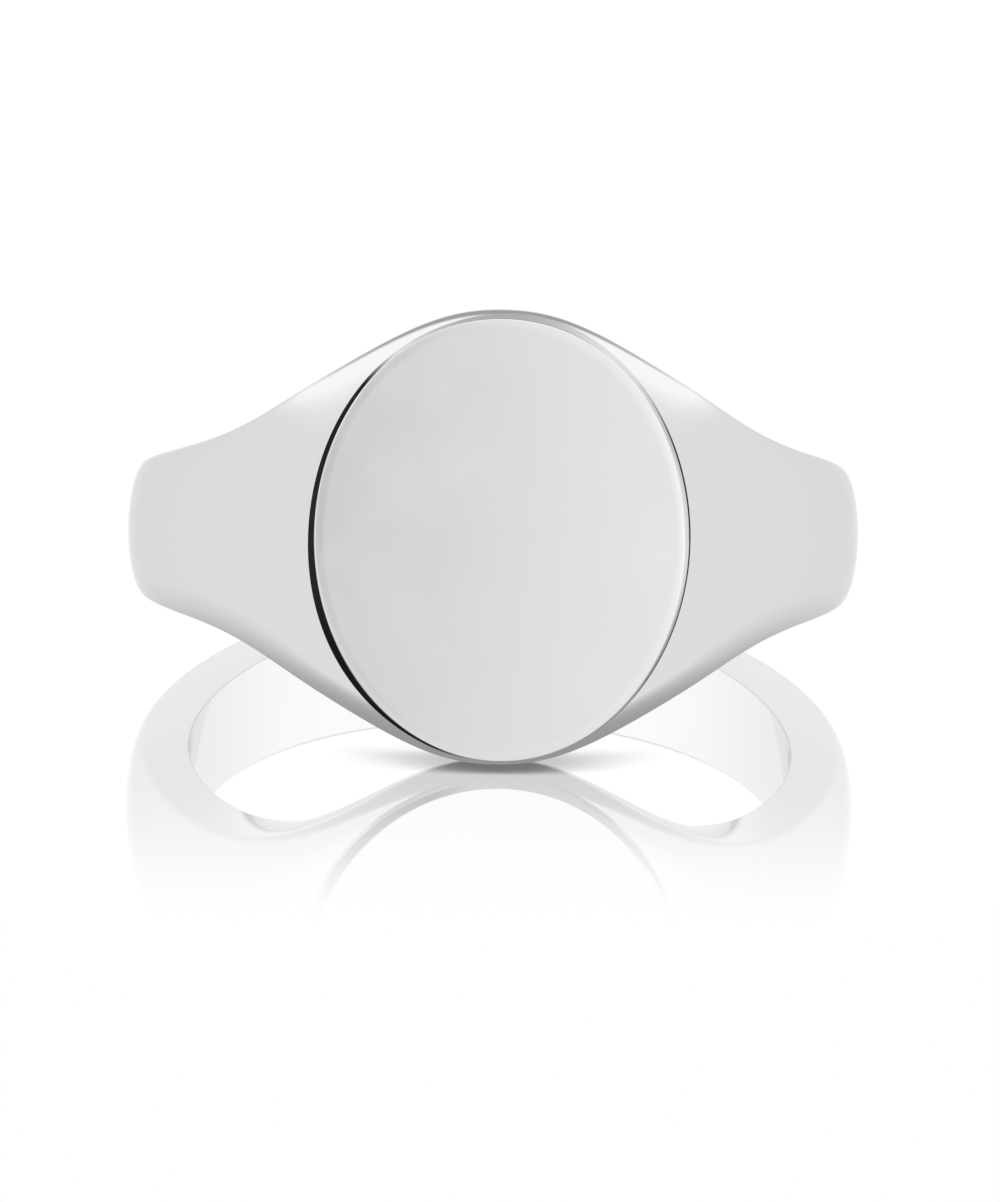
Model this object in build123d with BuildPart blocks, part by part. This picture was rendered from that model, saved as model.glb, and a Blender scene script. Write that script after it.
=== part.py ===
"""A plain signet ring with a blank oval table, lying on its side.

Bench construction: a flat oval table soldered on a solid head, two flared shoulders soldered to
the head, and a D-section shank soldered to both shoulders on one straight line.

World frame: millimetres, +Z up, the surface the ring lies on is Z = 0, the table faces -Y. The ring
lies on the lower rim of its head and the lower edge of the back of its shank, so it leans back.
Ring frame: x to the right, y from the table to the back of the shank, z along the finger.
Angles round the ring are measured from the table: 0 at the head, 90 at the sides, 180 at the back.
"""
import os
from math import cos, exp, radians, sin, sqrt

from build123d import *

# ---- driving dimensions, millimetres and degrees ----
finger_radius = 9.1
table_width = 10.9
table_length = 13.0
table_height = 11.7          # face of the table above the centre of the finger hole
table_thickness = 0.35
table_spread = 0.15          # the wall round the table slopes out this far to its foot
table_edge_round = 0.05
platform_depth = 1.0         # how deep the oval platform under the table runs into the head

crest_at_head = 11.25        # height of the band's flat top under the table
crest_at_side = 10.98
crest_at_back = 10.6
shoulder_rise = 2.2          # the shoulders rise towards the table as a hump on the round band,
shoulder_angle = 45.0        # which reaches this far round
shoulder_blend = 24          # how sharp the corner is where the flat top cuts the hump off

half_width_at_back = 1.6     # half the band's width, as terms that are added up
half_width_taper = 1.6       # the taper runs all round from back to head,
taper_power = 2.15           # and mostly towards the head
half_width_flare = 3.5       # the flare of the shoulders is added near the head
flare_angle = 30.0           # how far round it reaches
flare_power = 2.3
half_width_gain = 0.45       # the back of the shank stays as wide as its sides
gain_power = 4

dome_at_back = 0.55          # height of the domed outside above the side walls
dome_at_head = 0.6
dome_pull_at_shank = 0.67    # the curve over the dome: how far it first runs straight out,
dome_pull_at_head = 1.53
dome_flat_at_shank = 0.44    # and how much of the width its flat middle takes
dome_flat_at_head = 0.9
draw_in_at_shank = 0.03      # how far each side curves in on its way to the finger
draw_in_at_head = 0.48
draw_in_power = 3            # how fast it grows towards the head
inner_edge_round = 0.15

solder = 0.05                # thickness of every solder film
head_joint_angle = 35.0      # joint planes of the head, square to the band
shank_joint_height = 1.8     # the shank's ends stand this far ahead of the finger's centre,
shank_joint_angle = 80       # which is about this far round the band

section_step = 5             # degrees between the sections of the band
overrun = 15                 # degrees that each piece is made too long, before its ends are cut


def flare(angle):
    """1 at the head, falling to 0 round the sides."""
    return exp(-((abs(angle) / flare_angle) ** flare_power))


def blend(at_shank, at_head, angle):
    """A size that goes with the flare from its value at the shank to its value at the head."""
    return at_shank + (at_head - at_shank) * flare(angle)


def half_width(angle):
    taper = half_width_taper * ((1 + cos(radians(angle))) / 2) ** taper_power
    gain = half_width_gain * ((1 - cos(radians(angle))) / 2) ** gain_power
    return half_width_at_back + taper + gain + half_width_flare * flare(angle)


def crest(angle):
    """Outer radius along the middle of the band: flat top, sloping shoulders, elliptical back."""
    turn = min(abs(angle), 360 - abs(angle))
    ahead = cos(radians(turn))
    hump = shoulder_rise * exp(-((turn / shoulder_angle) ** 2))
    if turn >= 90:
        return hump + 1 / sqrt((ahead / crest_at_back) ** 2 + (1 - ahead**2) / crest_at_side**2)
    flat_top = crest_at_head / ahead
    blended = (crest_at_side + hump) ** -shoulder_blend + flat_top**-shoulder_blend
    return blended ** (-1 / shoulder_blend)


def dome_height(angle):
    return dome_at_back + (dome_at_head - dome_at_back) * (1 + cos(radians(angle))) / 2


def shoulder_radius(angle):
    """Radius at which the side walls end and the dome starts."""
    return crest(angle) - dome_height(angle)


def draw_in(angle):
    """How far each side curves in between the dome and the finger hole."""
    growth = ((1 + cos(radians(angle))) / 2) ** draw_in_power
    return draw_in_at_shank + (draw_in_at_head - draw_in_at_shank) * growth


# ---- how the ring lies: on the lower rim of the head and the lower edge of the shank's back ----
def head_reach(lean):
    """How far below the finger's centre the head's lower rim reaches when the ring leans back."""
    depth = shoulder_radius(0) - finger_radius
    flat_reach = half_width(0) * cos(lean) - shoulder_radius(0) * sin(lean)
    return flat_reach + (depth * sin(lean)) ** 2 / (4 * draw_in(0) * cos(lean))


def back_reach(lean):
    """The same for the lower edge of the shank's back."""
    bulge = sqrt((half_width(180) * cos(lean)) ** 2 + (dome_at_back * sin(lean)) ** 2)
    return shoulder_radius(180) * sin(lean) + bulge


lean = 0.0
for _ in range(20):
    lean += (head_reach(lean) - back_reach(lean)) / (shoulder_radius(0) + shoulder_radius(180))
front_end = table_height * cos(lean) + table_length / 2 * sin(lean)
back_bulge = sqrt((dome_at_back * cos(lean)) ** 2 + (half_width(180) * sin(lean)) ** 2)
back_end = shoulder_radius(180) * cos(lean) + back_bulge
ring = Plane(
    origin=(0, (front_end - back_end) / 2, head_reach(lean)),
    x_dir=(1, 0, 0),
    z_dir=(0, sin(lean), cos(lean)),
)


def radial_plane(angle):
    """Plane through the finger's axis: its x points outwards, its y along the finger."""
    outwards = ring.x_dir * sin(radians(angle)) - ring.y_dir * cos(radians(angle))
    return Plane(origin=ring.origin, x_dir=outwards, z_dir=outwards.cross(ring.z_dir))


def across_plane(height):
    """Plane square to the table's direction, this far ahead of the finger's centre, facing it."""
    return Plane(origin=ring.from_local_coords((0, -height, 0)), x_dir=ring.x_dir, z_dir=-ring.y_dir)


def band_section(angle):
    """Section of the band: sides that curve in towards the finger, and a domed outside."""
    half = half_width(angle)
    foot = shoulder_radius(angle)
    rise = dome_height(angle)
    pull = blend(dome_pull_at_shank, dome_pull_at_head, angle)
    flat = blend(dome_flat_at_shank, dome_flat_at_head, angle)
    shoulder = foot + pull * rise
    top = foot + (1.6 - pull / 2) * rise    # this puts the middle of the curve at the crest
    inside = 2 * finger_radius - foot       # well within the finger hole
    half_inside = half - 4 * draw_in(angle)
    with BuildSketch(radial_plane(angle)) as section:
        with BuildLine():
            Bezier(
                (foot, half), (shoulder, half), (top, flat * half),
                (top, -flat * half), (shoulder, -half), (foot, -half),
            )
            Bezier((foot, -half), (finger_radius, -half), (inside, -half_inside))
            Line((inside, -half_inside), (inside, half_inside))
            Bezier((inside, half_inside), (finger_radius, half), (foot, half))
        make_face()
    return section.sketch


def band_sections(first, last):
    count = round((last - first) / section_step)
    return [band_section(first + (last - first) * i / count) for i in range(count + 1)]


def rim_edges(part):
    """The edges where the finger hole meets the side walls of a piece of the band."""
    bore = part.faces().filter_by(GeomType.CYLINDER).sort_by(SortBy.AREA)[-1]
    return bore.edges().filter_by(GeomType.BSPLINE)


def oval(depth, spread):
    """The table's outline at a depth below its face, this much larger all round."""
    with BuildSketch(across_plane(table_height - depth)) as outline:
        Ellipse(table_width / 2 + spread, table_length / 2 + spread)
    return outline.sketch


seat_depth = table_thickness + solder
shoulder_end = shank_joint_height + solder
head_joint = radial_plane(head_joint_angle)
shoulder_start = head_joint.offset(-solder)

# ---- finger hole: the space that is cut from every piece of the band ----
with BuildPart() as finger_hole:
    with BuildSketch(ring):
        Circle(finger_radius)
    extrude(amount=table_length, both=True)

# ---- oval table: the flat face, with a softened edge ----
with BuildPart() as oval_table:
    loft(sections=[oval(0, 0), oval(table_thickness, table_spread)])
    fillet(oval_table.edges().sort_by(Axis(ring.origin, ring.y_dir))[0], table_edge_round)

# ---- solder film under the table ----
with BuildPart() as table_solder:
    extrude(oval(seat_depth, table_spread), amount=solder)

# ---- head: the middle of the band, with an oval platform that carries the table ----
with BuildPart() as head:
    loft(sections=band_sections(-head_joint_angle - overrun, head_joint_angle + overrun))
    add(finger_hole.part, mode=Mode.SUBTRACT)
    fillet(rim_edges(head.part), inner_edge_round)
    split(bisect_by=head_joint, keep=Keep.TOP)
    split(bisect_by=radial_plane(-head_joint_angle), keep=Keep.BOTTOM)
    extrude(oval(platform_depth, table_spread), amount=platform_depth - seat_depth)

# ---- right shoulder, and the solder films at its two ends ----
with BuildPart() as right_shoulder:
    loft(sections=band_sections(head_joint_angle - overrun, shank_joint_angle + overrun))
    add(finger_hole.part, mode=Mode.SUBTRACT)
    fillet(rim_edges(right_shoulder.part), inner_edge_round)
    split(bisect_by=shoulder_start, keep=Keep.BOTTOM)
    split(bisect_by=across_plane(shoulder_end), keep=Keep.TOP)

with BuildPart() as head_right_solder:
    loft(sections=band_sections(head_joint_angle - overrun, head_joint_angle + overrun))
    add(finger_hole.part, mode=Mode.SUBTRACT)
    fillet(rim_edges(head_right_solder.part), inner_edge_round)
    split(bisect_by=head_joint, keep=Keep.BOTTOM)
    split(bisect_by=shoulder_start, keep=Keep.TOP)

with BuildPart() as shank_right_solder:
    loft(sections=band_sections(shank_joint_angle - overrun, shank_joint_angle + overrun))
    add(finger_hole.part, mode=Mode.SUBTRACT)
    fillet(rim_edges(shank_right_solder.part), inner_edge_round)
    split(bisect_by=across_plane(shoulder_end), keep=Keep.BOTTOM)
    split(bisect_by=across_plane(shank_joint_height), keep=Keep.TOP)

# ---- left shoulder and its solder films: the right-hand ones, mirrored ----
with BuildPart() as left_shoulder:
    mirror(right_shoulder.part, about=Plane.YZ)

with BuildPart() as head_left_solder:
    mirror(head_right_solder.part, about=Plane.YZ)

with BuildPart() as shank_left_solder:
    mirror(shank_right_solder.part, about=Plane.YZ)

# ---- shank: the D-section band round the back, its two ends filed to one flat line ----
with BuildPart() as shank:
    loft(sections=band_sections(shank_joint_angle - overrun, 360 - shank_joint_angle + overrun))
    add(finger_hole.part, mode=Mode.SUBTRACT)
    fillet(rim_edges(shank.part), inner_edge_round)
    split(bisect_by=across_plane(shank_joint_height), keep=Keep.BOTTOM)

pieces = {
    "oval_table": oval_table,
    "table_solder": table_solder,
    "head": head,
    "left_shoulder": left_shoulder,
    "right_shoulder": right_shoulder,
    "head_left_solder": head_left_solder,
    "head_right_solder": head_right_solder,
    "shank": shank,
    "shank_left_solder": shank_left_solder,
    "shank_right_solder": shank_right_solder,
}
os.makedirs("parts", exist_ok=True)
for name, piece in pieces.items():
    piece.part.label = name
    export_step(piece.part, f"parts/{name}.step")
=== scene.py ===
"""The looks of the signet ring: smooth meshes of its ten pieces, their metals, and a light tent.

The ring is drawn from the driving dimensions of its CAD model, in millimetres, and turned into
metres at the end. In the ring frame x is to the right, y runs from the table to the back of the
shank and z runs along the finger. Angles round the band are 0 at the table and 180 at the back.
"""

import bpy
import numpy as np
from mathutils import Matrix, Vector


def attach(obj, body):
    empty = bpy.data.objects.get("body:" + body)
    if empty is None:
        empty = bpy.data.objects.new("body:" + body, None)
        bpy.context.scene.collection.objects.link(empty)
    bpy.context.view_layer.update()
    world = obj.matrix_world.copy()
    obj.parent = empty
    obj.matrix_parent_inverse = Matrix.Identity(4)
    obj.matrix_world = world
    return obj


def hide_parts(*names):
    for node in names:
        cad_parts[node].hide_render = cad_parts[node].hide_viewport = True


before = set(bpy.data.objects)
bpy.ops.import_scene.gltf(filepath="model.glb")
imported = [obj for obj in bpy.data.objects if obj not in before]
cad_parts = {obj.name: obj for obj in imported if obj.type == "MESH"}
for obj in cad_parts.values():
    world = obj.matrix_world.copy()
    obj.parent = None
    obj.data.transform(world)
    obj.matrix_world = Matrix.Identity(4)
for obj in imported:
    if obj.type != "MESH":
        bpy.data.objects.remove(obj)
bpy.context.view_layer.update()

MM = 0.001

# ---- driving dimensions, millimetres and degrees ----
FINGER_RADIUS = 9.1
TABLE_WIDTH, TABLE_LENGTH = 10.9, 13.0
TABLE_HEIGHT = 11.7          # face of the table above the finger's centre
TABLE_THICKNESS = 0.35
TABLE_SPREAD = 0.15          # the wall round the table slopes out this far
TABLE_EDGE_ROUND = 0.05
TABLE_CROWN = 0.02           # polishing takes this much off towards the table's edge,
ROLL_OFF = 0.007             # and this much more over the last part of the way,
ROLL_OFF_FROM = 0.955        # which starts at this share of it
# The table is filed by hand, so it isn't a perfect oval. Each stretch is (amount, its middle, how
# far it reaches), the last two in degrees round the table from its right, by way of its top.
MORE_WALL = ((0.6, 205.0, 28.0), (-0.6, 112.0, 28.0), (-0.45, 252.0, 22.0))   # share of the wall
EDGE_SHIFT = ((0.09, 292.0, 50.0), (-0.085, 90.0, 25.0))      # millimetres, of the face's edge
CREST_AT_HEAD, CREST_AT_SIDE, CREST_AT_BACK = 11.25, 10.98, 10.6
SHOULDER_RISE, SHOULDER_ANGLE, SHOULDER_BLEND = 2.2, 45.0, 24
HALF_WIDTH_AT_BACK, HALF_WIDTH_TAPER, HALF_WIDTH_FLARE = 1.6, 1.6, 3.5
TAPER_POWER = 2.15
FLARE_ANGLE, FLARE_POWER = 30.0, 2.3
HALF_WIDTH_GAIN, GAIN_POWER = 0.45, 4
DOME_AT_BACK, DOME_AT_HEAD = 0.55, 0.6
DOME_PULL = (0.67, 1.53)     # these three are given at the shank and at the head
DOME_FLAT = (0.44, 0.9)
DRAW_IN = (0.03, 0.48)       # how far each side curves in on its way to the finger
DRAW_IN_POWER = 3
INNER_EDGE_ROUND = 0.15
SOLDER = 0.05                # thickness of every solder film
HEAD_JOINT_ANGLE = 35.0
SHANK_JOINT_HEIGHT = 1.8     # the shank's ends are this far ahead of the finger's centre

# ---- mesh density ----
STEP = 1.25                  # degrees between the sections of the band
DOME_CELLS, WALL_CELLS, ROUND_CELLS, BORE_CELLS = 56, 8, 6, 12
OVAL_CELLS = 256
# lines of corners: over the table outwards, then over flat discs and the sides of its solder
FACE_LINES, ROLL_OFF_LINES, EDGE_LINES, WALL_LINES = 30, 12, 9, 7
DISC_LINES, SLAB_LINES = 8, 3
DOME_LINES, PLATFORM_LINES = 29, 4           # over the head's dome, and up the platform's side
WELD = 1e5                   # places per millimetre: corners that fall on the same one are welded
# how often each repeated sum is done, by when it has settled
RIM_ROUNDS, LEAN_ROUNDS, DROP_ROUNDS = 12, 20, 30
HEAD_CUT_ROUNDS, SHANK_CUT_ROUNDS = 8, 12
ANGLE_NUDGE, U_NUDGE = 0.05, 0.002           # steps that the band's tangents are measured over


# ---- the band's shape ----
def flare(angle):
    return np.exp(-((np.abs(angle) / FLARE_ANGLE) ** FLARE_POWER))


def blend(ends, angle):
    at_shank, at_head = ends
    return at_shank + (at_head - at_shank) * flare(angle)


def half_width(angle):
    taper = HALF_WIDTH_TAPER * ((1 + np.cos(np.radians(angle))) / 2) ** TAPER_POWER
    gain = HALF_WIDTH_GAIN * ((1 - np.cos(np.radians(angle))) / 2) ** GAIN_POWER
    return HALF_WIDTH_AT_BACK + taper + gain + HALF_WIDTH_FLARE * flare(angle)


def crest(angle):
    """Radius along the middle of the band: flat top, sloping shoulders, elliptical back."""
    turn = np.minimum(np.abs(angle), 360 - np.abs(angle))
    ahead = np.cos(np.radians(turn))
    hump = SHOULDER_RISE * np.exp(-((turn / SHOULDER_ANGLE) ** 2))
    back = 1 / np.sqrt((ahead / CREST_AT_BACK) ** 2 + (1 - ahead**2) / CREST_AT_SIDE**2)
    flat_top = CREST_AT_HEAD / np.maximum(ahead, 1e-3)
    front = (CREST_AT_SIDE + hump) ** -SHOULDER_BLEND + flat_top**-SHOULDER_BLEND
    front = front ** (-1 / SHOULDER_BLEND)
    return np.where(turn >= 90, hump + back, front)


def draw_in(angle):
    at_shank, at_head = DRAW_IN
    ahead = (1 + np.cos(np.radians(angle))) / 2
    return at_shank + (at_head - at_shank) * ahead**DRAW_IN_POWER


def dome_height(angle):
    return DOME_AT_BACK + (DOME_AT_HEAD - DOME_AT_BACK) * (1 + np.cos(np.radians(angle))) / 2


def bezier(t, points):
    """Point at t on the Bezier curve with these control values, which may be arrays."""
    while len(points) > 1:
        points = [(1 - t) * a + t * b for a, b in zip(points, points[1:])]
    return points[0]


def rounded_rim(depth, inwards):
    """Where down the side wall the rim's rounding starts, its lean, and how far in its centre is."""
    s = np.full_like(depth, 0.5)
    for _ in range(RIM_ROUNDS):
        along, down = 8 * inwards * s, 2 * depth
        length = np.hypot(along, down)
        s = (1 - INNER_EDGE_ROUND * (1 - along / length) / depth) / 2
    lean = np.arctan2(8 * inwards * s, 2 * depth)
    return s, lean, 4 * inwards * s**2 + INNER_EDGE_ROUND * np.cos(lean)


def section(angle, u):
    """(radius, z) on the band's outline at an angle.

    u runs from 0 to 1 over the dome from +z to -z, to 2 down the side wall, to 3 round the rim, to
    4 along the finger hole, to 5 round the other rim and to 6 up the wall on the +z side.
    """
    angle, u = np.broadcast_arrays(np.asarray(angle, float), np.asarray(u, float))
    half, rise = half_width(angle), dome_height(angle)
    foot = crest(angle) - rise
    pull, flat = blend(DOME_PULL, angle), blend(DOME_FLAT, angle)
    # with these weights the middle of the curve is just the rise above its foot
    shoulder, top = foot + pull * rise, foot + (1.6 - pull / 2) * rise
    t = np.clip(u, 0, 1)
    dome_r = bezier(t, [foot, shoulder, top, top, shoulder, foot])
    dome_z = bezier(t, [half, half, flat * half, -flat * half, -half, -half])

    side = np.where(u > 3.5, 1.0, -1.0)
    v = np.where(u > 3.5, 7 - u, u)              # the +z side is the -z side, mirrored
    depth, inwards = foot - FINGER_RADIUS, draw_in(angle)
    s_end, lean, centre = rounded_rim(depth, inwards)
    s = np.clip(v - 1, 0, 1) * s_end
    wall_r = FINGER_RADIUS + depth * (1 - 2 * s)
    wall_z = half - 4 * inwards * s**2
    turn = lean + np.clip(v - 2, 0, 1) * (np.pi / 2 - lean)
    round_r = FINGER_RADIUS + INNER_EDGE_ROUND * (1 - np.sin(turn))
    round_z = half - centre + INNER_EDGE_ROUND * np.cos(turn)
    bore_z = (half - centre) * (1 - 2 * np.clip(v - 3, 0, 0.5))

    inner_r = np.where(v <= 2, wall_r, np.where(v <= 3, round_r, FINGER_RADIUS))
    inner_z = side * np.where(v <= 2, wall_z, np.where(v <= 3, round_z, bore_z))
    return np.where(u <= 1, dome_r, inner_r), np.where(u <= 1, dome_z, inner_z)


def band_point(angle, u):
    r, z = section(angle, u)
    turn = np.radians(angle)
    return np.stack([r * np.sin(turn), -r * np.cos(turn), z], axis=-1)


def band_normal(angle, u):
    """Outward normal of the band's skin, from the surface's own tangents."""
    along = band_point(angle + ANGLE_NUDGE, u) - band_point(angle - ANGLE_NUDGE, u)
    u = np.asarray(u, float)
    ahead = np.where(u >= 6, u, u + U_NUDGE)
    behind = np.where(u <= 0, u, u - U_NUDGE)
    across = band_point(angle, ahead) - band_point(angle, behind)
    normal = np.cross(across, along)
    return normal / np.linalg.norm(normal, axis=-1, keepdims=True)


# ---- how the ring lies: on the head's lower rim and the lower edge of the shank's back ----
def resting_place():
    """(lean in radians, y and z of the finger hole's centre), as in the CAD model."""
    half_head, half_back = half_width(0.0), half_width(180.0)
    foot_head, foot_back = float(crest(0.0)) - DOME_AT_HEAD, CREST_AT_BACK - DOME_AT_BACK
    lean = 0.0
    for _ in range(LEAN_ROUNDS):
        depth = (foot_head - FINGER_RADIUS) * np.sin(lean)
        head = half_head * np.cos(lean) - foot_head * np.sin(lean)
        head += depth**2 / (4 * draw_in(0.0) * np.cos(lean))
        bulge = np.hypot(half_back * np.cos(lean), DOME_AT_BACK * np.sin(lean))
        back = foot_back * np.sin(lean) + bulge
        lean += (head - back) / (foot_head + foot_back)
    front_end = TABLE_HEIGHT * np.cos(lean) + TABLE_LENGTH / 2 * np.sin(lean)
    bulge = np.hypot(DOME_AT_BACK * np.cos(lean), half_back * np.sin(lean))
    back_end = foot_back * np.cos(lean) + bulge
    return float(lean), float((front_end - back_end) / 2), float(head)


LEAN, CENTRE_Y, CENTRE_Z = resting_place()
# columns are the ring frame's x, y and z in the world
TURN = np.array([
    [1, 0, 0],
    [0, np.cos(LEAN), np.sin(LEAN)],
    [0, -np.sin(LEAN), np.cos(LEAN)],
])
CENTRE = np.array([0, CENTRE_Y, CENTRE_Z])    # of the finger hole, in the world
FACE_NORMAL = np.array([0.0, -1.0, 0.0])      # in the ring frame


# ---- meshes: patches with a normal at every corner, welded into one closed skin ----
def cells_of(grid):
    """The four corners of every cell in a grid (row, column, xyz)."""
    cells = np.stack([grid[:-1, :-1], grid[1:, :-1], grid[1:, 1:], grid[:-1, 1:]], axis=2)
    return cells.reshape(-1, 4, 3)


class Skin:
    def __init__(self):
        self.corners, self.normals, self.sizes = [], [], []

    def add(self, points, normals):
        """Faces as an array (face, corner, xyz), with the normals the same shape."""
        self.corners.append(points.reshape(-1, 3))
        self.normals.append(normals.reshape(-1, 3))
        self.sizes += [points.shape[1]] * points.shape[0]

    def grid(self, points, normals):
        """A grid of faces, (row, column, xyz), turned so that they look along the normals."""
        quads, corner_normals = cells_of(points), cells_of(np.broadcast_to(normals, points.shape))
        facing = np.cross(quads[:, 2] - quads[:, 0], quads[:, 3] - quads[:, 1])
        if np.sum(facing * corner_normals.mean(axis=1)) < 0:
            quads, corner_normals = quads[:, ::-1], corner_normals[:, ::-1]
        self.add(quads, corner_normals)

    def cap(self, outline, normal):
        """A flat end inside a closed outline, as triangles to its middle."""
        middle = np.broadcast_to(outline.mean(axis=0), outline.shape)
        triangles = np.stack([outline, np.roll(outline, -1, axis=0), middle], axis=1)
        facing = np.cross(triangles[:, 1] - triangles[:, 0], triangles[:, 2] - triangles[:, 0])
        if np.sum(facing @ normal) < 0:
            triangles = triangles[:, ::-1]
        self.add(triangles, np.broadcast_to(normal, triangles.shape))

    def mirrored(self):
        """The same skin on the other side of the ring."""
        other, flip, start = Skin(), np.array([-1, 1, 1]), 0
        corners = np.concatenate(self.corners) * flip
        normals = np.concatenate(self.normals) * flip
        for size in self.sizes:
            stop = start + size
            other.add(corners[None, start:stop][:, ::-1], normals[None, start:stop][:, ::-1])
            start = stop
        return other

    def build(self, name):
        """The Blender object, in metres in the world, its corners welded and its normals kept."""
        corners, normals = np.concatenate(self.corners), np.concatenate(self.normals)
        places = np.round(corners * WELD).astype(np.int64)
        _, first, vertex = np.unique(places, axis=0, return_index=True, return_inverse=True)
        vertex = vertex.reshape(-1)
        faces, face_normals, start = [], [], 0
        for size in self.sizes:
            face, loop_normals = [], []
            for i in range(start, start + size):
                if vertex[i] not in face:
                    face.append(int(vertex[i]))
                    loop_normals.append(normals[i])
            start += size
            if len(face) > 2:
                faces.append(face)
                face_normals += loop_normals
        mesh = bpy.data.meshes.new(name)
        mesh.from_pydata(((corners[first] @ TURN.T + CENTRE) * MM).tolist(), [], faces)
        mesh.polygons.foreach_set("use_smooth", [True] * len(faces))
        mesh.normals_split_custom_set((np.array(face_normals) @ TURN.T).tolist())
        piece = bpy.data.objects.new(name, mesh)
        bpy.context.scene.collection.objects.link(piece)
        return piece


def spread(*cells):
    """Values of u over steps of the outline, given as (first u, how many faces it gets)."""
    parts = [first + np.arange(count) / count for first, count in cells]
    return np.append(np.concatenate(parts), cells[-1][0] + 1)


DOME_U = spread((0, DOME_CELLS))
INNER_U = spread(
    (1, WALL_CELLS), (2, ROUND_CELLS), (3, BORE_CELLS), (4, ROUND_CELLS), (5, WALL_CELLS))
OUTLINE_U = np.append(DOME_U, INNER_U[1:])


# ---- where the joints cut the band: the angle at which each point of the outline meets them ----
def head_cut(u, offset=0.0):
    angle = np.full_like(u, HEAD_JOINT_ANGLE)
    for _ in range(HEAD_CUT_ROUNDS):
        angle = HEAD_JOINT_ANGLE + np.degrees(np.arcsin(offset / section(angle, u)[0]))
    return angle


def shank_cut(u, height):
    angle = np.full_like(u, 90.0)
    for _ in range(SHANK_CUT_ROUNDS):
        angle = np.degrees(np.arccos(height / section(angle, u)[0]))
    return angle


def onwards(angle):
    """Direction of growing angle, square to the joint plane at that angle."""
    return np.array([np.cos(np.radians(angle)), np.sin(np.radians(angle)), 0.0])


def band_skin(start, end, start_normal, end_normal):
    """Skin of a length of band between two cuts, which are an angle for each point of OUTLINE_U."""
    count = max(2, round(float(np.abs(end - start).max()) / STEP))
    share = np.linspace(0, 1, count + 1)[:, None]
    angle = start * (1 - share) + end * share
    u = np.broadcast_to(OUTLINE_U, angle.shape)
    skin = Skin()
    points = band_point(angle, u)
    skin.grid(points, band_normal(angle, u))
    skin.cap(points[0, :-1], start_normal)
    skin.cap(points[-1, :-1], end_normal)
    return skin


# ---- ovals of the table ----
def filed(turn, stretches):
    """Sum of the filed stretches at an angle round the table, in radians."""
    at = np.degrees(turn) % 360
    return sum(
        amount * np.exp(-(((at - middle) / reach) ** 2)) for amount, middle, reach in stretches)


def oval_points(turn, spread_out, height, scale=1.0):
    """Points on the filed outline, larger all round by spread_out, at a height above the centre.

    The filing of the face's edge is gone at the foot of the wall.
    """
    shift, more = filed(turn, EDGE_SHIFT), filed(turn, MORE_WALL)
    out = shift + spread_out * (1 + more) * (1 - shift / TABLE_SPREAD)
    x = (TABLE_WIDTH / 2 + out) * np.cos(turn) * scale
    z = (TABLE_LENGTH / 2 + out) * np.sin(turn) * scale
    return np.stack(np.broadcast_arrays(x, -np.asarray(height, float), z), axis=-1)


def oval_normals(turn, towards_face=0.0):
    """Normals square to the oval, raised towards the face by an angle in radians."""
    x, z = TABLE_LENGTH * np.cos(turn), TABLE_WIDTH * np.sin(turn)
    length = np.hypot(x, z)
    sideways = np.stack([x / length, np.zeros_like(x), z / length], axis=-1)
    return sideways * np.cos(towards_face) + FACE_NORMAL * np.sin(towards_face)


def disc(skin, turn, spread_out, height, normal):
    """A flat oval in rings of faces."""
    scales = np.linspace(1, 0, DISC_LINES)[:, None]
    skin.grid(oval_points(turn[None, :], spread_out, height, scales), normal)


def table_skin():
    """Crowned face, rounded edge, sloping wall and flat underside of the table."""
    turn = np.linspace(0, 2 * np.pi, OVAL_CELLS + 1)
    slope = np.arctan2(TABLE_SPREAD, TABLE_THICKNESS)
    reach = TABLE_EDGE_ROUND * np.tan((np.pi / 2 - slope) / 2)
    foot = TABLE_HEIGHT - TABLE_THICKNESS
    skin = Skin()

    crown = np.linspace(0, ROLL_OFF_FROM, FACE_LINES)
    rim = np.linspace(ROLL_OFF_FROM, 1, ROLL_OFF_LINES)
    scale = np.append(crown, rim[1:])[:, None]
    face = oval_points(turn[None, :], -reach, 0.0, scale)
    edge_share = np.maximum(scale - ROLL_OFF_FROM, 0) / (1 - ROLL_OFF_FROM)
    face[..., 1] = -(TABLE_HEIGHT - TABLE_CROWN * scale**2 - ROLL_OFF * edge_share**2)
    steep = 2 * ROLL_OFF * edge_share / (1 - ROLL_OFF_FROM) / np.maximum(scale, 0.1)
    steep = steep + 2 * TABLE_CROWN
    tilt_x = steep * face[..., 0] / (TABLE_WIDTH / 2) ** 2
    tilt_z = steep * face[..., 2] / (TABLE_LENGTH / 2) ** 2
    normals = np.stack([tilt_x, -np.ones_like(tilt_x), tilt_z], axis=-1)
    skin.grid(face, normals / np.linalg.norm(normals, axis=-1, keepdims=True))

    lean = np.linspace(np.pi / 2, slope, EDGE_LINES)[:, None]
    out = -reach + TABLE_EDGE_ROUND * np.cos(lean)
    height = TABLE_HEIGHT - TABLE_CROWN - ROLL_OFF - TABLE_EDGE_ROUND * (1 - np.sin(lean))
    edge = oval_points(turn[None, :], out, height)
    edge_normals = np.stack([oval_normals(turn, a) for a in lean[:, 0]])
    skin.grid(edge, edge_normals)

    share = np.linspace(0, 1, WALL_LINES)[:, None]
    wall_out = out[-1] * (1 - share) + TABLE_SPREAD * share
    wall_height = height[-1] * (1 - share) + foot * share
    wall = oval_points(turn[None, :], wall_out, wall_height)
    skin.grid(wall, np.broadcast_to(oval_normals(turn, slope), wall.shape))
    disc(skin, turn, TABLE_SPREAD, foot, -FACE_NORMAL)
    return skin


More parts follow.
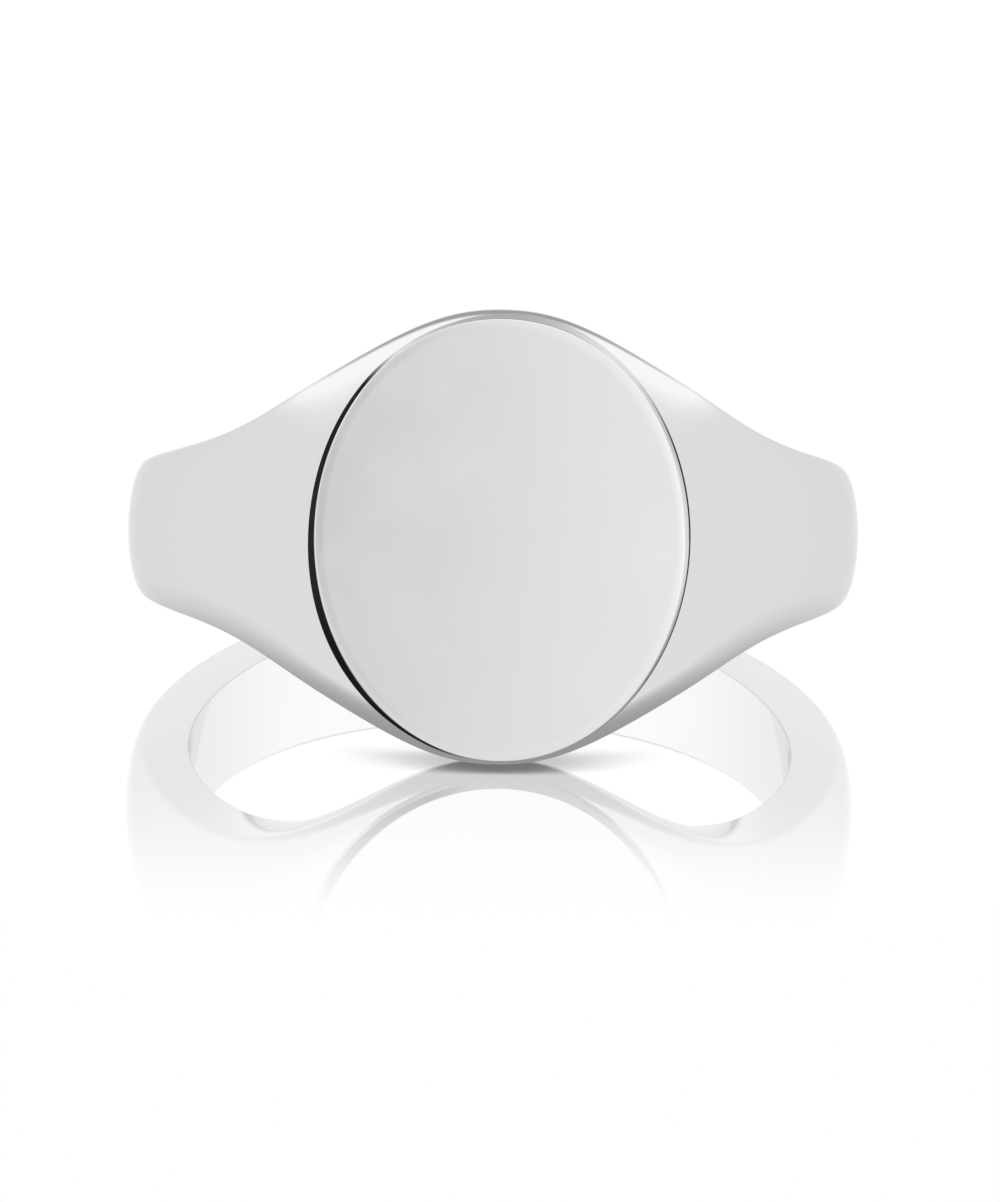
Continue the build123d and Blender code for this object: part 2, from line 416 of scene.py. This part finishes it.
def oval_slab(top, bottom):
    """A flat oval plate with upright sides, as the film of solder under the table is."""
    turn = np.linspace(0, 2 * np.pi, OVAL_CELLS + 1)
    skin = Skin()
    disc(skin, turn, TABLE_SPREAD, top, FACE_NORMAL)
    disc(skin, turn, TABLE_SPREAD, bottom, -FACE_NORMAL)
    heights = np.linspace(top, bottom, SLAB_LINES)[:, None]
    side = oval_points(turn[None, :], TABLE_SPREAD, heights)
    skin.grid(side, np.broadcast_to(oval_normals(turn), side.shape))
    return skin


# ---- head ----
def drop_on_dome(x, z):
    """(angle, u) where a line through (x, z) square to the table meets the band's dome."""
    height = np.full_like(x, CREST_AT_HEAD)
    for _ in range(DROP_ROUNDS):
        angle = np.degrees(np.arctan2(x, height))
        low, high = np.zeros_like(x), np.full_like(x, 0.5)
        for _ in range(DROP_ROUNDS):
            middle = (low + high) / 2
            wide = section(angle, middle)[1] > np.abs(z)
            low, high = np.where(wide, middle, low), np.where(wide, high, middle)
        r = section(angle, low)[0]
        height = (height + np.sqrt(r**2 - x**2)) / 2
    return angle, np.where(z > 0, low, 1 - low)


def head_skin():
    """Band between its two joint planes, with an oval platform that stands out of the dome."""
    skin = Skin()
    count = round(2 * HEAD_JOINT_ANGLE / STEP)
    across = np.linspace(-HEAD_JOINT_ANGLE, HEAD_JOINT_ANGLE, count + 1)
    angle, u = np.meshgrid(across, INNER_U, indexing="ij")
    skin.grid(band_point(angle, u), band_normal(angle, u))

    # the dome's border: down the right joint, along the lower rim, up the left joint, and back
    corner = HEAD_JOINT_ANGLE
    border_angle = np.concatenate([
        np.full(DOME_CELLS, corner), across[:0:-1], np.full(DOME_CELLS, -corner), across[:-1]])
    border_u = np.concatenate([DOME_U[:-1], np.ones(count), DOME_U[:0:-1], np.zeros(count)])
    border_angle = np.append(border_angle, border_angle[0])
    border_u = np.append(border_u, border_u[0])
    border = band_point(border_angle, border_u)
    turn = np.arctan2(border[:, 2] / TABLE_LENGTH, border[:, 0] / TABLE_WIDTH)
    platform = oval_points(turn, TABLE_SPREAD, 0.0)
    inner_angle, inner_u = drop_on_dome(platform[:, 0], platform[:, 2])
    share = np.linspace(0, 1, DOME_LINES)[:, None]
    angle = inner_angle * (1 - share) + border_angle * share
    u = inner_u * (1 - share) + border_u * share
    dome = band_point(angle, u)
    skin.grid(dome, band_normal(angle, u))

    seat = TABLE_HEIGHT - TABLE_THICKNESS - SOLDER
    rise = np.linspace(0, 1, PLATFORM_LINES)[:, None]
    foot = -dome[0, :, 1]
    side = oval_points(turn[None, :], TABLE_SPREAD, foot * (1 - rise) + seat * rise)
    skin.grid(side, np.broadcast_to(oval_normals(turn), side.shape))
    disc(skin, turn, TABLE_SPREAD, seat, FACE_NORMAL)
    for end in (-1, 1):
        ends = np.full_like(OUTLINE_U, end * HEAD_JOINT_ANGLE)
        skin.cap(band_point(ends, OUTLINE_U)[:-1], end * onwards(end * HEAD_JOINT_ANGLE))
    return skin


# ---- node trees ----
def direction_of(azimuth, elevation):
    """Unit vector for angles in radians. Azimuth is 0 in front of the ring, growing to the right."""
    across = np.cos(elevation)
    return np.sin(azimuth) * across, -np.cos(azimuth) * across, np.sin(elevation)


class Nodes:
    """A node tree, with shorthands for the few sums that light and metal need."""
    def __init__(self, tree):
        self.tree = tree

    def new(self, kind, **settings):
        node = self.tree.nodes.new(kind)
        for name, value in settings.items():
            setattr(node, name, value)
        return node

    def link(self, output, socket):
        self.tree.links.new(output, socket)

    def combine(self, a, b, operation="ADD"):
        node = self.new("ShaderNodeMath", operation=operation)
        self.link(a, node.inputs[0])
        self.link(b, node.inputs[1])
        return node.outputs[0]

    def step(self, value, start, end, low, high):
        """Goes smoothly from low to high while a value goes from start to end."""
        node = self.new("ShaderNodeMapRange", interpolation_type="SMOOTHSTEP")
        sockets = ("From Min", "From Max", "To Min", "To Max")
        for name, number in zip(sockets, (start, end, low, high)):
            node.inputs[name].default_value = number
        self.link(value, node.inputs["Value"])
        return node.outputs["Result"]

    def split(self, vector):
        node = self.new("ShaderNodeSeparateXYZ")
        self.link(vector, node.inputs[0])
        return node.outputs

    def measure(self, operation, vector, fixed):
        """An operation on a vector and a fixed one, as its node's outputs."""
        node = self.new("ShaderNodeVectorMath", operation=operation)
        self.link(vector, node.inputs[0])
        node.inputs[1].default_value = fixed
        return node.outputs

    def noise(self, where, scale, detail):
        node = self.new("ShaderNodeTexNoise")
        node.inputs["Scale"].default_value = scale
        node.inputs["Detail"].default_value = detail
        self.link(where, node.inputs["Vector"])
        return node.outputs["Fac"]

    def colours(self, factor, start, end):
        """A mix of two colours. start may be another node's output."""
        node = self.new("ShaderNodeMix", data_type="RGBA")
        if isinstance(start, tuple):
            node.inputs["A"].default_value = start
        else:
            self.link(start, node.inputs["A"])
        node.inputs["B"].default_value = end
        self.link(factor, node.inputs["Factor"])
        return node.outputs["Result"]

    def lobe(self, direction, azimuth, elevation, outer, inner, amount):
        """An amount of light around a direction, fading in between two angles, all in degrees."""
        middle = direction_of(np.radians(azimuth), np.radians(elevation))
        near = self.measure("DOT_PRODUCT", direction, middle)["Value"]
        edge, core = np.cos(np.radians(outer)), np.cos(np.radians(inner))
        return self.step(near, edge, core, 0, amount)


# ---- pieces ----
def painted_shade_and_reflection(nodes, where):
    """How dark the table's wall is at a place.

    It is painted, not mirrored: black down the left is a painted reflection of the dark thing that a
    real wall mirrors, and the fine line at the right foot is painted shade.
    """
    from_centre = nodes.measure("SUBTRACT", where, CENTRE * MM)["Vector"]
    height = nodes.measure("DOT_PRODUCT", from_centre, TURN @ FACE_NORMAL)["Value"]
    total = None
    for middle, gone, whole, starts, full in PAINTED_SHADE_AND_REFLECTION:
        x, z = np.cos(np.radians(middle)), np.sin(np.radians(middle))
        outwards = np.array([x / (TABLE_WIDTH / 2), 0, z / (TABLE_LENGTH / 2)]) / MM
        towards = nodes.measure("DOT_PRODUCT", from_centre, TURN @ outwards)["Value"]
        side = nodes.step(towards, np.cos(np.radians(gone)), np.cos(np.radians(whole)), 0, 1)
        top, bottom = (TABLE_HEIGHT - starts) * MM, (TABLE_HEIGHT - full) * MM
        line = nodes.combine(side, nodes.step(height, top, bottom, 0, 1), "MULTIPLY")
        total = line if total is None else nodes.combine(total, line, "MAXIMUM")
    return total


def grey(tone):
    return (tone, tone, tone, 1)


def metal(name, roughness, wear, painted_shade=False):
    """Polished white precious metal. wear scales the fine marks and the haze between them."""
    material = bpy.data.materials.new(name)
    material.use_nodes = True
    nodes = Nodes(material.node_tree)
    shader = material.node_tree.nodes["Principled BSDF"].inputs
    shader["Metallic"].default_value = 1.0
    shader["Specular Tint"].default_value = grey(EDGE_TINT)
    where = nodes.new("ShaderNodeTexCoord").outputs["Object"]

    haze = nodes.noise(where, *HAZE)
    rough = nodes.new("ShaderNodeMapRange")
    for end, number in zip(("From Min", "From Max"), HAZE_RANGE):
        rough.inputs[end].default_value = number
    rough.inputs["To Min"].default_value = roughness
    rough.inputs["To Max"].default_value = roughness * (1 + wear)
    nodes.link(haze, rough.inputs["Value"])
    nodes.link(rough.outputs["Result"], shader["Roughness"])

    tone = nodes.colours(haze, HAZE_DULL, HAZE_BRIGHT)
    # painted reflection and painted shade on the table's wall, mixed into its colour and edge tint
    if painted_shade:
        dark = painted_shade_and_reflection(nodes, where)
        tone = nodes.colours(dark, tone, grey(PAINTED_SHADE_TONE))
        edge_tint = nodes.colours(dark, grey(EDGE_TINT), grey(PAINTED_SHADE_EDGE_TINT))
        nodes.link(edge_tint, shader["Specular Tint"])
    nodes.link(tone, shader["Base Color"])

    bump = nodes.new("ShaderNodeBump")
    bump.inputs["Strength"].default_value = MARKS_STRENGTH * wear
    bump.inputs["Distance"].default_value = MARKS_DEPTH
    nodes.link(nodes.noise(where, *MARKS), bump.inputs["Height"])
    nodes.link(bump.outputs["Normal"], shader["Normal"])
    return material


METAL_TONE = 0.75
HAZE = (420.0, 5.0)          # the noise's scale and detail,
HAZE_RANGE = (0.3, 0.7)      # and the part of it that is used
HAZE_DULL = (METAL_TONE * 0.992, METAL_TONE * 0.992, METAL_TONE * 0.994, 1)
HAZE_BRIGHT = (METAL_TONE, METAL_TONE, METAL_TONE * 1.002, 1)
MARKS = (9000.0, 3.0)        # the same for the fine marks
MARKS_STRENGTH, MARKS_DEPTH = 0.04, 0.00001
EDGE_TINT = 0.88             # how much of the light edges still reflect that are seen at a slant
# colour and edge tint of the painted reflection and painted shade on the table's wall
PAINTED_SHADE_TONE, PAINTED_SHADE_EDGE_TINT = 0.016, 0.54
# two painted lines: a painted reflection down the left, painted shade at the right foot
# for each line, in degrees round the table: its middle, and how far from it the line is gone and
# whole; then in millimetres below the face: where it starts and is full
PAINTED_SHADE_AND_REFLECTION = (
    (193.0, 70.0, 55.0, 0.04, 0.06),
    (-4.0, 50.0, 20.0, 0.22, 0.27),
)
METALS = {
    "band": metal("polished_band", roughness=0.05, wear=0.6),
    # the table's wall gets painted reflection and painted shade
    "table": metal("polished_table", roughness=0.08, wear=1.0, painted_shade=True),
    "solder": metal("polished_solder", roughness=0.05, wear=0.6),
}


def finish_piece(skin, name, node, slot):
    piece = skin.build(name)
    piece.data.materials.append(METALS[slot])
    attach(piece, "root")
    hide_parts(node)


SEAT = TABLE_HEIGHT - TABLE_THICKNESS
head_joint = head_cut(OUTLINE_U)
film_end = head_cut(OUTLINE_U, SOLDER)
shoulder_end = shank_cut(OUTLINE_U, SHANK_JOINT_HEIGHT + SOLDER)
shank_start = shank_cut(OUTLINE_U, SHANK_JOINT_HEIGHT)
forwards, along = FACE_NORMAL, onwards(HEAD_JOINT_ANGLE)

finish_piece(table_skin(), "polished_oval_table", "oval_table", "table")
finish_piece(oval_slab(SEAT, SEAT - SOLDER), "table_solder_film", "table_solder", "solder")
finish_piece(head_skin(), "polished_head", "head", "band")
sides = (
    ("shoulder", "{}_shoulder", "band", band_skin(film_end, shoulder_end, -along, -forwards)),
    ("head_film", "head_{}_solder", "solder", band_skin(head_joint, film_end, -along, along)),
    ("shank_film", "shank_{}_solder", "solder",
     band_skin(shoulder_end, shank_start, forwards, -forwards)),
)
for name, node, slot, skin in sides:
    finish_piece(skin, "right_" + name, node.format("right"), slot)
    finish_piece(skin.mirrored(), "left_" + name, node.format("left"), slot)
shank = band_skin(shank_start, 360 - shank_start, forwards, forwards)
finish_piece(shank, "polished_shank", "shank", "band")


# ---- light: a white tent all round, over a glowing white floor ----
def tent_light(nodes, direction):
    """How bright the tent is in a direction."""
    light = nodes.step(nodes.split(direction)["Z"], *TENT_RISE, TENT_BASE, TENT_TOP)
    for lobe in TENT_LOBES:
        light = nodes.combine(light, nodes.lobe(direction, *lobe))
    return light


def emitter(name):
    """(material, its nodes, its emission shader), with the emission linked to the output."""
    material = bpy.data.materials.new(name)
    material.use_nodes = True
    material.cycles.emission_sampling = "NONE"
    material.node_tree.nodes.clear()
    nodes = Nodes(material.node_tree)
    glow = nodes.new("ShaderNodeEmission")
    nodes.link(glow.outputs[0], nodes.new("ShaderNodeOutputMaterial").inputs["Surface"])
    return material, nodes, glow


def floor_card(name, height, material):
    corners = [(x * FLOOR, y * FLOOR, height) for x, y in ((-1, -1), (1, -1), (1, 1), (-1, 1))]
    mesh = bpy.data.meshes.new(name)
    mesh.from_pydata(corners, [], [(0, 1, 2, 3)])
    mesh.materials.append(material)
    card = bpy.data.objects.new(name, mesh)
    bpy.context.scene.collection.objects.link(card)
    return card


def make_world():
    world = bpy.data.worlds.new("light_tent")
    bpy.context.scene.world = world
    world.use_nodes = True
    world.node_tree.nodes.clear()
    nodes = Nodes(world.node_tree)
    background = nodes.new("ShaderNodeBackground")
    direction = nodes.new("ShaderNodeTexCoord").outputs["Generated"]
    nodes.link(tent_light(nodes, direction), background.inputs["Color"])
    nodes.link(background.outputs[0], nodes.new("ShaderNodeOutputWorld").inputs["Surface"])


def make_glow_floor():
    """What the ring sees of the floor: darker where the ring shades it."""
    material, nodes, glow = emitter("floor_glow")
    where = nodes.new("ShaderNodeTexCoord").outputs["Object"]
    distance = nodes.measure("DISTANCE", where, (0, CONTACT_Y, 0))["Value"]
    shade = nodes.step(distance, *RING_SHADE, *RING_SHADE_LEVELS)
    nodes.link(shade, glow.inputs["Strength"])
    floor = floor_card("floor_glow", -GLOW_DEPTH, material)
    floor.visible_camera = False
    floor.visible_shadow = False


def make_mirror_floor():
    """What the camera sees of the floor: white, with a mirror image that fades to the front."""
    material, nodes, glow = emitter("floor_gloss")
    # painted contact shadow: the floor's glow dims where ambient occlusion finds the ring close
    shade = nodes.new("ShaderNodeAmbientOcclusion", samples=CONTACT_SAMPLES)
    shade.inputs["Distance"].default_value = CONTACT_REACH
    contact = nodes.step(shade.outputs["AO"], *CONTACT_SHADE, *CONTACT_LEVELS)
    nodes.link(contact, glow.inputs["Strength"])
    gloss = nodes.new("ShaderNodeBsdfGlossy")
    gloss.inputs["Color"].default_value = (1, 1, 1, 1)
    gloss.inputs["Roughness"].default_value = MIRROR_ROUGHNESS
    y = nodes.split(nodes.new("ShaderNodeTexCoord").outputs["Object"])["Y"]
    slant = nodes.new("ShaderNodeLayerWeight").outputs["Facing"]
    gloss_at_slant = nodes.step(slant, *MIRROR_SLANT, *MIRROR_SLANT_LEVELS)
    fade = nodes.combine(nodes.step(y, *MIRROR_FADE, 0.0, MIRROR), gloss_at_slant, "MULTIPLY")
    mix = nodes.new("ShaderNodeMixShader")
    for output, socket in zip((fade, glow.outputs[0], gloss.outputs[0]), mix.inputs):
        nodes.link(output, socket)
    nodes.link(mix.outputs[0], material.node_tree.get_output_node("ALL").inputs["Surface"])
    floor = floor_card("floor_gloss", 0.0, material)
    floor.visible_glossy = False
    floor.visible_diffuse = False
    floor.visible_shadow = False


FLOOR = 3.0                                    # half its width, in metres, as are all lengths below
GLOW_DEPTH = 0.0001                            # how far the glowing card is below the mirror
CONTACT_Y = -0.0102                            # where the head touches the floor
CONTACT_REACH, CONTACT_SAMPLES = 0.003, 12
CONTACT_SHADE, CONTACT_LEVELS = (0.08, 0.6), (0.05, 1.0)
MIRROR, MIRROR_ROUGHNESS, MIRROR_FADE = 0.5, 0.02, (-0.029, -0.011)
MIRROR_SLANT, MIRROR_SLANT_LEVELS = (0.3, 0.74), (0.1, 1.0)
RING_SHADE, RING_SHADE_LEVELS = (0.001, 0.025), (0.4, 0.96)
TENT_BASE, TENT_TOP, TENT_RISE = 0.96, 1.24, (0.25, 0.55)
TENT_LOBES = (                                 # azimuth, elevation, outer and inner angle, amount
    (180, 65, 50, 25, -0.78),
    (180, 12, 25, 10, 0.1),
    (-4, 13, 7, 1, -0.25),
    (7, 13, 9, 2, 0.15),
    (13, 13, 7, 2, 0.25),
)
make_world()
make_glow_floor()
make_mirror_floor()


# ---- camera ----
AZIMUTH, TILT, ROLL = -1.085, 0.867, 0.938     # degrees; TILT is above square to the table
DISTANCE = 0.4                                 # metres, from the ring's centre
PICTURE_HEIGHT = 1202
PIXELS_PER_MM = 33.08                          # at the ring's centre, on a picture that high
AIM_RIGHT, AIM_DOWN = 0.212 * MM, 2.106 * MM   # the aim, from the ring's centre
SENSOR_WIDTH = 36.0
NEAR, FAR = 0.01, 10.0


def looking(forward):
    """Rotation of a camera that looks along a direction, with its roll."""
    return forward.to_track_quat("-Z", "Y").to_matrix() @ Matrix.Rotation(np.radians(ROLL), 3, "Z")


def make_camera():
    back = Vector(direction_of(np.radians(AZIMUTH), LEAN + np.radians(TILT)))
    camera = bpy.data.objects.new("camera", bpy.data.cameras.new("camera"))
    bpy.context.scene.collection.objects.link(camera)
    bpy.context.scene.camera = camera
    camera.data.sensor_width = SENSOR_WIDTH
    camera.data.lens = SENSOR_WIDTH * PIXELS_PER_MM * DISTANCE / MM / PICTURE_HEIGHT
    camera.data.clip_start, camera.data.clip_end = NEAR, FAR
    right, up, _ = looking(-back).col
    centre = Vector(CENTRE) * MM
    camera.location = centre + back * DISTANCE
    aim = centre + right * AIM_RIGHT - up * AIM_DOWN
    turn = looking((aim - camera.location).normalized())
    camera.matrix_world = Matrix.Translation(camera.location) @ turn.to_4x4()


make_camera()
bpy.context.scene.view_settings.view_transform = "Standard"
